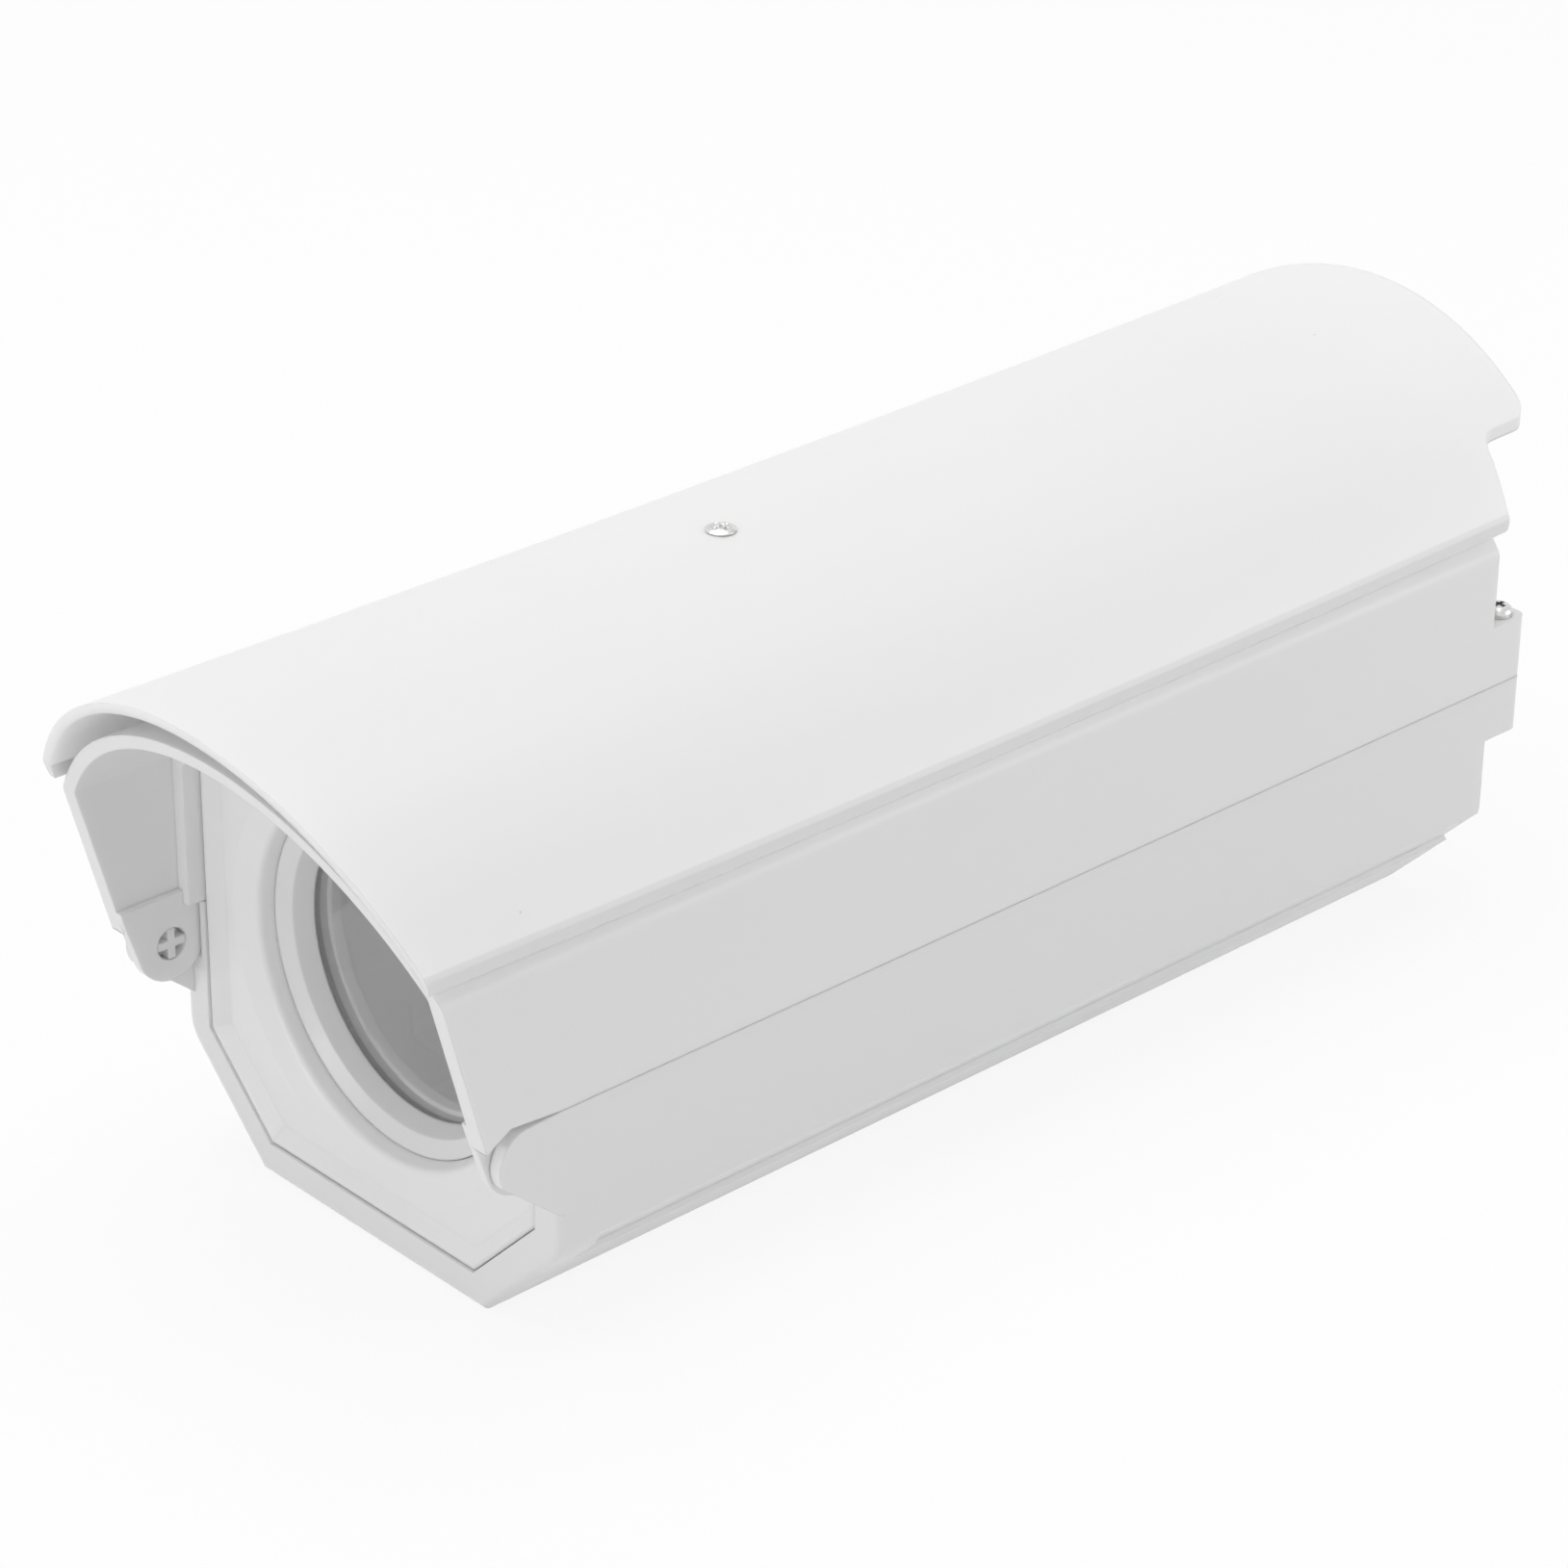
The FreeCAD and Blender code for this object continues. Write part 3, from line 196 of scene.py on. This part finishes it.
class Tree:
    """A material's node tree with short ways to add and join nodes."""

    def __init__(self, name):
        self.material = bpy.data.materials.new(name)
        self.material.use_nodes = True
        self.tree = self.material.node_tree
        self.tree.nodes.clear()
        self.shader = self.add("ShaderNodeBsdfPrincipled")
        self.output = self.add("ShaderNodeOutputMaterial")
        self.join(self.shader, "BSDF", self.output, "Surface")
        self.place = self.add("ShaderNodeTexCoord")

    def add(self, kind, **values):
        node = self.tree.nodes.new(kind)
        for key, value in values.items():
            setattr(node, key, value)
        return node

    def join(self, source, out, target, into):
        self.tree.links.new(source.outputs[out], target.inputs[into])

    def set(self, **values):
        for key, value in values.items():
            self.shader.inputs[key.replace("_", " ")].default_value = value

    def colour(self, socket):
        self.tree.links.new(socket, self.shader.inputs["Base Color"])

    def noise(self, scale, detail=2.0, roughness=0.5, stretch=(1.0, 1.0, 1.0)):
        mapping = self.add("ShaderNodeMapping")
        mapping.inputs["Scale"].default_value = stretch
        self.join(self.place, "Object", mapping, "Vector")
        node = self.add("ShaderNodeTexNoise")
        node.inputs["Scale"].default_value = scale
        node.inputs["Detail"].default_value = detail
        node.inputs["Roughness"].default_value = roughness
        self.join(mapping, 0, node, "Vector")
        return node

    def span(self, source, out, low, high, to_low, to_high):
        """The source's value moved from one range to another, and kept inside it."""
        node = self.add("ShaderNodeMapRange")
        for key, value in (("From Min", low), ("From Max", high), ("To Min", to_low), ("To Max", to_high)):
            node.inputs[key].default_value = value
        self.join(source, out, node, "Value")
        return node

    def math(self, kind, first, second):
        node = self.add("ShaderNodeMath", operation=kind)
        for index, item in enumerate((first, second)):
            if isinstance(item, (int, float)):
                node.inputs[index].default_value = item
            else:
                self.tree.links.new(item, node.inputs[index])
        return node

    def blend_colour(self, factor, first, second):
        node = self.add("ShaderNodeMix", data_type="RGBA")
        self.tree.links.new(factor, node.inputs["Factor"])
        for key, item in (("A", first), ("B", second)):
            socket = [s for s in node.inputs if s.name == key and s.type == "RGBA"][0]
            if isinstance(item, tuple):
                socket.default_value = item
            else:
                self.tree.links.new(item, socket)
        return [s for s in node.outputs if s.type == "RGBA"][0]

    def mix_shaders(self, factor, out, first, second):
        """The first shader where the factor is 0, and the second where it is 1."""
        node = self.add("ShaderNodeMixShader")
        self.join(factor, out, node, "Fac")
        self.join(first, 0, node, 1)
        self.join(second, 0, node, 2)
        return node

    def rounded(self, radius, samples=6):
        """Normals rounded at the edges."""
        node = self.add("ShaderNodeBevel", samples=samples)
        node.inputs["Radius"].default_value = radius
        return node

    def bump(self, height, strength, distance, before=None):
        node = self.add("ShaderNodeBump")
        node.inputs["Strength"].default_value = strength
        node.inputs["Distance"].default_value = distance
        self.join(height, "Fac", node, "Height")
        if before is not None:
            self.join(before, "Normal", node, "Normal")
        return node

    def finish(self, normal):
        self.join(normal, "Normal", self.shader, "Normal")
        return self.material


# Materials

def specks(tree):
    """Rare round specks: 1 inside a speck and 0 outside."""
    cells = tree.add("ShaderNodeTexVoronoi")
    cells.inputs["Scale"].default_value = SPECK_CELLS
    tree.join(tree.place, "Object", cells, "Vector")
    near = tree.span(cells, "Distance", SPECK_RADIUS, SPECK_RADIUS * 0.5, 0.0, 1.0)
    chance = tree.add("ShaderNodeSeparateColor")
    tree.join(cells, "Color", chance, "Color")
    chosen = tree.math("LESS_THAN", chance.outputs[0], SPECK_SHARE)
    return tree.math("MULTIPLY", near.outputs[0], chosen.outputs[0]).outputs[0]


def thin_sheet(tree, base):
    """Lets light through to the sheet's underside and paints the underside lighter as painted light, and
    paints shade on its folded sides; gives back the colour.
    """
    spot = tree.add("ShaderNodeSeparateXYZ")
    tree.join(tree.place, "Object", spot, "Vector")
    across = tree.math("ABSOLUTE", spot.outputs["X"], 0.0)
    shaded_side = tree.span(across, 0, SHEET_SIDE - SIDE_STEP, SHEET_SIDE, 0.0, 1.0)
    look = tree.add("ShaderNodeSeparateXYZ")
    tree.join(tree.place, "Normal", look, "Vector")
    down = tree.span(look, "Z", UNDER_STARTS, UNDER_FULL, 0.0, 1.0)
    middle = tree.span(shaded_side, 0, 0.0, 1.0, 1.0, 0.0)
    under = tree.math("MULTIPLY", down.outputs[0], middle.outputs[0])
    share = tree.span(under, 0, 0.0, 1.0, SHEET_TRANSLUCENCE, UNDER_TRANSLUCENCE)
    tree.join(share, 0, tree.shader, "Subsurface Weight")
    depth = tree.span(under, 0, 0.0, 1.0, SHEET_DEPTH, UNDER_DEPTH)
    tree.join(depth, 0, tree.shader, "Subsurface Scale")
    # Painted shade on the folded sides, then painted light on the underside
    base = tree.blend_colour(shaded_side.outputs[0], base, SIDE_PAINTED_SHADE)
    return tree.blend_colour(under.outputs[0], base, UNDER_PAINTED_LIGHT)


def moulded_plastic(name, colour, roughness=PLASTIC_ROUGHNESS, edge=SHELL_EDGE, sheet=False):
    """White moulded plastic: satin, a little translucent, with fine grain, flow clouds and faint specks."""
    tree = Tree(name)
    clouds = tree.noise(9.0, detail=3.0, roughness=0.6, stretch=(1.0, 0.35, 1.0))
    cloud_share = tree.span(clouds, "Fac", 0.3, 0.7, 0.0, 1.0).outputs[0]
    paler = tuple(min(1.0, c * CLOUD_PALER) for c in colour[:3]) + (1.0,)
    duller = tuple(c * CLOUD_DULLER for c in colour[:3]) + (1.0,)
    base = tree.blend_colour(cloud_share, duller, paler)
    base = tree.blend_colour(specks(tree), base, SPECK_SHADE)
    tree.set(IOR=PLASTIC_IOR, Subsurface_Weight=TRANSLUCENCE, Subsurface_Radius=(1.0, 1.0, 1.0),
             Subsurface_Scale=DEPTH)
    if sheet:
        base = thin_sheet(tree, base)
    tree.colour(base)
    rub = tree.noise(60.0, detail=4.0, roughness=0.7, stretch=(1.0, 0.12, 1.0))
    smear = tree.span(rub, "Fac", 0.35, 0.7, roughness - RUB_SMOOTHER, roughness + RUB_ROUGHER)
    tree.join(smear, 0, tree.shader, "Roughness")
    waves = tree.noise(38.0, stretch=(1.0, 0.3, 1.0))
    grain = tree.noise(2600.0, roughness=0.6)
    first = tree.bump(waves, 0.06, 0.0006, tree.rounded(edge))
    return tree.finish(tree.bump(grain, 0.10, 0.00006, first))


def patched_metal(tree, patches, low, tones, roughness):
    """Metal whose colour and roughness follow the patches, from one given end to the other."""
    share = tree.span(patches, "Fac", low, 0.7, 0.0, 1.0).outputs[0]
    tree.colour(tree.blend_colour(share, *tones))
    tree.set(Metallic=1.0)
    tree.join(tree.span(patches, "Fac", 0.3, 0.7, *roughness), 0, tree.shader, "Roughness")


def bright_steel(name):
    """Zinc-plated steel: bright, with fine turning marks and a little dullness in patches."""
    tree = Tree(name)
    patched_metal(tree, tree.noise(900.0, detail=3.0, roughness=0.6), 0.3, STEEL, (0.16, 0.34))
    lines = tree.noise(5200.0, detail=1.0, stretch=(1.0, 1.0, 0.08))
    return tree.finish(tree.bump(lines, 0.12, 0.00002, tree.rounded(SMALL_EDGE)))


def turned_brass(name):
    """Brass of the threaded inserts, slightly tarnished."""
    tree = Tree(name)
    patched_metal(tree, tree.noise(420.0, detail=4.0, roughness=0.6), 0.35, BRASS, (0.25, 0.42))
    lines = tree.noise(3800.0, detail=1.0, stretch=(1.0, 1.0, 0.06))
    return tree.finish(tree.bump(lines, 0.2, 0.00003))


def rolled_sheet(name):
    """Plain aluminium sheet of the tray, with rolling lines along its length."""
    tree = Tree(name)
    lines = tree.noise(700.0, detail=3.0, roughness=0.6, stretch=(1.0, 0.02, 1.0))
    patched_metal(tree, lines, 0.3, ALUMINIUM, (0.30, 0.46))
    return tree.finish(tree.bump(lines, 0.15, 0.00003, tree.rounded(SHEET_METAL_EDGE, samples=4)))


def soft_rubber(name, tones):
    """Matt rubber with a dusty bloom."""
    tree = Tree(name)
    bloom = tree.noise(160.0, detail=5.0, roughness=0.65)
    share = tree.span(bloom, "Fac", 0.4, 0.75, 0.0, 1.0).outputs[0]
    tree.colour(tree.blend_colour(share, *tones))
    tree.join(tree.span(bloom, "Fac", 0.3, 0.7, 0.55, 0.8), 0, tree.shader, "Roughness")
    grain = tree.noise(3000.0, roughness=0.6)
    return tree.finish(tree.bump(grain, 0.25, 0.00005))


def clear_glass(name):
    """Window: clear and polished, with a trace of dust, a thin layer of painted light as a pale diffuse
    glow, and open to the lamps.
    """
    tree = Tree(name)
    dust = tree.noise(240.0, detail=4.0, roughness=0.6)
    ripple = tree.noise(26.0, detail=1.0, roughness=0.4)
    tree.set(Base_Color=GLASS_TINT, IOR=GLASS_IOR, Transmission_Weight=1.0)
    tree.join(tree.span(dust, "Fac", 0.45, 0.8, 0.0, 0.05), 0, tree.shader, "Roughness")
    # Painted light: a pale diffuse layer over the glass, a little uneven with the dust pattern
    bloom = tree.add("ShaderNodeBsdfDiffuse")
    bloom.inputs["Color"].default_value = GLASS_PAINTED_LIGHT_SHADE
    painted_light_share = tree.span(dust, "Fac", 0.3, 0.7, GLASS_PAINTED_LIGHT * 0.9, GLASS_PAINTED_LIGHT * 1.1)
    dusty = tree.mix_shaders(painted_light_share, 0, tree.shader, bloom)
    clear = tree.add("ShaderNodeBsdfTransparent")
    clear.inputs["Color"].default_value = GLASS_SHADOW
    path = tree.add("ShaderNodeLightPath")
    tree.join(tree.mix_shaders(path, "Is Shadow Ray", dusty, clear), 0, tree.output, "Surface")
    return tree.finish(tree.bump(ripple, 0.02, 0.0002))


finishes = {
    # The housing's white is a little darker, as painted shade
    "housing_plastic": moulded_plastic("housing_plastic", HOUSING_WHITE_PAINTED_SHADE),
    "gland_plastic": moulded_plastic("gland_plastic", NYLON, NYLON_ROUGHNESS, NYLON_EDGE),
    "window_glass": clear_glass("window_glass"),
    "steel": bright_steel("steel"),
    "brass": turned_brass("brass"),
    "tray_metal": rolled_sheet("tray_metal"),
    "rubber": soft_rubber("rubber", RUBBER),
    "silicone": soft_rubber("silicone", SILICONE),
}


# CAD nodes

def dress(name, material):
    data = nodes[name].data
    data.materials.clear()
    data.materials.append(material)
    for face in data.polygons:
        face.material_index = 0


for entry in frame["record"]["subparts"]:
    dress(entry["node"], finishes[entry["material_slot"]])
# Lit and shaded copies of the housing plastic: painted light on the cover and the window plate, painted
# shade on the window ring
dress("upper_cover", moulded_plastic("cover_plastic_painted_light", COVER_WHITE_PAINTED_LIGHT))
dress("window_plate", moulded_plastic("plate_plastic_painted_light", PLATE_WHITE_PAINTED_LIGHT, edge=2.0 * SHELL_EDGE))
dress("window_ring", moulded_plastic("ring_plastic_painted_shade", RING_WHITE_PAINTED_SHADE))
# The sunshield sheet's colour holds painted light on its top and underside, and painted shade on its folded
# sides
dress("sunshield", moulded_plastic("sunshield_sheet", SHEET_WHITE_PAINTED_LIGHT, sheet=True))


# Sunshield's screw

def cross_depth(x, y):
    """Depth of the cross recess at a point of the head, in metres."""
    depth = 0.0
    for along, across in ((x, y), (y, x)):
        reach = CROSS_REACH - abs(along)
        width = CROSS_HALF_WIDTH + CROSS_SPREAD * max(reach, 0.0) - abs(across)
        if reach > 0 and width > 0:
            depth = max(depth, min(CROSS_DEPTH, reach * CROSS_END_SLOPE, width * CROSS_SIDE_SLOPE))
    return depth


def screw_rings():
    """Radius and height of each ring, from the shank's tip to the middle of the head."""
    rings = [
        (0.3 * SHANK_RADIUS, -SHANK_LENGTH),
        (0.8 * SHANK_RADIUS, -SHANK_LENGTH),
        (SHANK_RADIUS, SHANK_TIP - SHANK_LENGTH),
        (SHANK_RADIUS, 0.0),
        (HEAD_RADIUS - RIM_EDGE, 0.0),
        (HEAD_RADIUS, RIM_EDGE),
        (HEAD_RADIUS, RIM_RISE),
    ]
    for index in range(1, DOME_RINGS + 1):
        share = 1.0 - index / (DOME_RINGS + 1.0)
        rise = (HEAD_RISE - RIM_RISE) * (1.0 - share ** DOME_POWER)
        rings.append((HEAD_RADIUS * share, RIM_RISE + rise))
    return rings


def low_screw():
    """The screw with its low domed head, in the place of the plain solid."""
    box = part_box("shield_screw")
    base = box[0].z + SHANK_LENGTH
    centre = (box[0] + box[1]) * 0.5
    mesh = bmesh.new()
    rows = []
    for radius, height in screw_rings():
        row = []
        for spoke in range(SPOKES):
            angle = 2.0 * math.pi * (spoke + 0.5) / SPOKES
            x, y = radius * math.cos(angle), radius * math.sin(angle)
            cut = cross_depth(x, y) if height > RIM_RISE else 0.0
            row.append(mesh.verts.new((centre.x + x, centre.y + y, base + height - cut)))
        rows.append(row)
    for low, high in zip(rows, rows[1:]):
        for spoke in range(SPOKES):
            after = (spoke + 1) % SPOKES
            mesh.faces.new((low[spoke], low[after], high[after], high[spoke]))
    mesh.faces.new(list(reversed(rows[0])))
    mesh.faces.new(rows[-1])
    data = bpy.data.meshes.new("low_screw")
    mesh.to_mesh(data)
    mesh.free()
    for face in data.polygons:
        face.use_smooth = True
    data.materials.append(finishes["steel"])
    piece = bpy.data.objects.new("low_screw", data)
    bpy.context.scene.collection.objects.link(piece)
    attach(piece, "cover")
    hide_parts("shield_screw")


low_screw()


# Studio

def soft_lamp(name, place, aim, size, power):
    data = bpy.data.lights.new(name, "AREA")
    data.shape = "RECTANGLE"
    data.size, data.size_y = size
    data.energy = power
    lamp = bpy.data.objects.new(name, data)
    lamp.location = place
    lamp.rotation_mode = "QUATERNION"
    lamp.rotation_quaternion = (Vector(aim) - Vector(place)).to_track_quat("-Z", "Y")
    bpy.context.scene.collection.objects.link(lamp)


def direct_rays(tree):
    """1 for rays from the camera, from glass and from polished metal, and 0 for others."""
    path = tree.nodes.new("ShaderNodeLightPath")
    share = path.outputs["Is Camera Ray"]
    for name in ("Is Glossy Ray", "Is Transmission Ray"):
        larger = tree.nodes.new("ShaderNodeMath")
        larger.operation = "MAXIMUM"
        tree.links.new(share, larger.inputs[0])
        tree.links.new(path.outputs[name], larger.inputs[1])
        share = larger.outputs[0]
    return share


def plain_node(tree, kind, colour=None, strength=None):
    """A new shader node with its colour and strength."""
    node = tree.nodes.new(kind)
    for key, value in (("Color", colour), ("Strength", strength)):
        if value is not None:
            node.inputs[key].default_value = value
    return node


def seen_or_lit(tree, lit, seen, output):
    """Shows one shader to direct rays, and gives the other to the light."""
    mix = tree.nodes.new("ShaderNodeMixShader")
    tree.links.new(direct_rays(tree), mix.inputs["Fac"])
    tree.links.new(lit.outputs[0], mix.inputs[1])
    tree.links.new(seen.outputs[0], mix.inputs[2])
    tree.links.new(mix.outputs[0], tree.nodes.new(output).inputs["Surface"])


def studio_world():
    """White to direct rays, and plain light from all round."""
    world = bpy.data.worlds.new("studio")
    world.use_nodes = True
    tree = world.node_tree
    tree.nodes.clear()
    lit = plain_node(tree, "ShaderNodeBackground", grey(1.0), WORLD_LIGHT)
    seen = plain_node(tree, "ShaderNodeBackground", grey(1.0), 1.0)
    seen_or_lit(tree, lit, seen, "ShaderNodeOutputWorld")
    bpy.context.scene.world = world


def floor_material():
    """White paper to the camera with a pale soft shadow, and a greyer sheet for the light."""
    material = bpy.data.materials.new("floor")
    material.use_nodes = True
    tree = material.node_tree
    tree.nodes.clear()
    paper = plain_node(tree, "ShaderNodeBsdfDiffuse", grey(1.0))
    glow = plain_node(tree, "ShaderNodeEmission", strength=1.0)
    seen = tree.nodes.new("ShaderNodeMixShader")
    seen.inputs["Fac"].default_value = FLOOR_GLOW
    tree.links.new(paper.outputs[0], seen.inputs[1])
    tree.links.new(glow.outputs[0], seen.inputs[2])
    lit = plain_node(tree, "ShaderNodeBsdfDiffuse", grey(FLOOR_TONE))
    seen_or_lit(tree, lit, seen, "ShaderNodeOutputMaterial")
    return material


def studio_floor():
    mesh = bpy.data.meshes.new("floor")
    low = cad_box[0].z - FLOOR_DROP
    corners = [(x * FLOOR_HALF, y * FLOOR_HALF, low) for x, y in ((-1, -1), (1, -1), (1, 1), (-1, 1))]
    mesh.from_pydata(corners, [], [(0, 1, 2, 3)])
    mesh.materials.append(floor_material())
    floor = bpy.data.objects.new("floor", mesh)
    bpy.context.scene.collection.objects.link(floor)


def camera():
    data = bpy.data.cameras.new("camera")
    data.lens = LENS
    data.sensor_width = SENSOR
    data.clip_start, data.clip_end = CLIP_START, CLIP_END
    item = bpy.data.objects.new("camera", data)
    ahead = Vector((-math.sin(TURN) * math.cos(TILT), math.cos(TURN) * math.cos(TILT), -math.sin(TILT)))
    level = Vector((math.cos(TURN), math.sin(TURN), 0.0))
    up = level.cross(ahead)
    right = level * math.cos(ROLL) + up * math.sin(ROLL)
    up = up * math.cos(ROLL) - level * math.sin(ROLL)
    axes = Matrix((right, up, -ahead)).transposed().to_4x4()
    item.matrix_world = Matrix.Translation(EYE) @ axes
    bpy.context.scene.collection.objects.link(item)
    bpy.context.scene.camera = item


studio_world()
studio_floor()
for lamp in LAMPS:
    soft_lamp(*lamp)
camera()

scene = bpy.context.scene
scene.view_settings.view_transform = "Standard"
scene.cycles.max_bounces = MAX_BOUNCES
scene.cycles.diffuse_bounces = DIFFUSE_BOUNCES
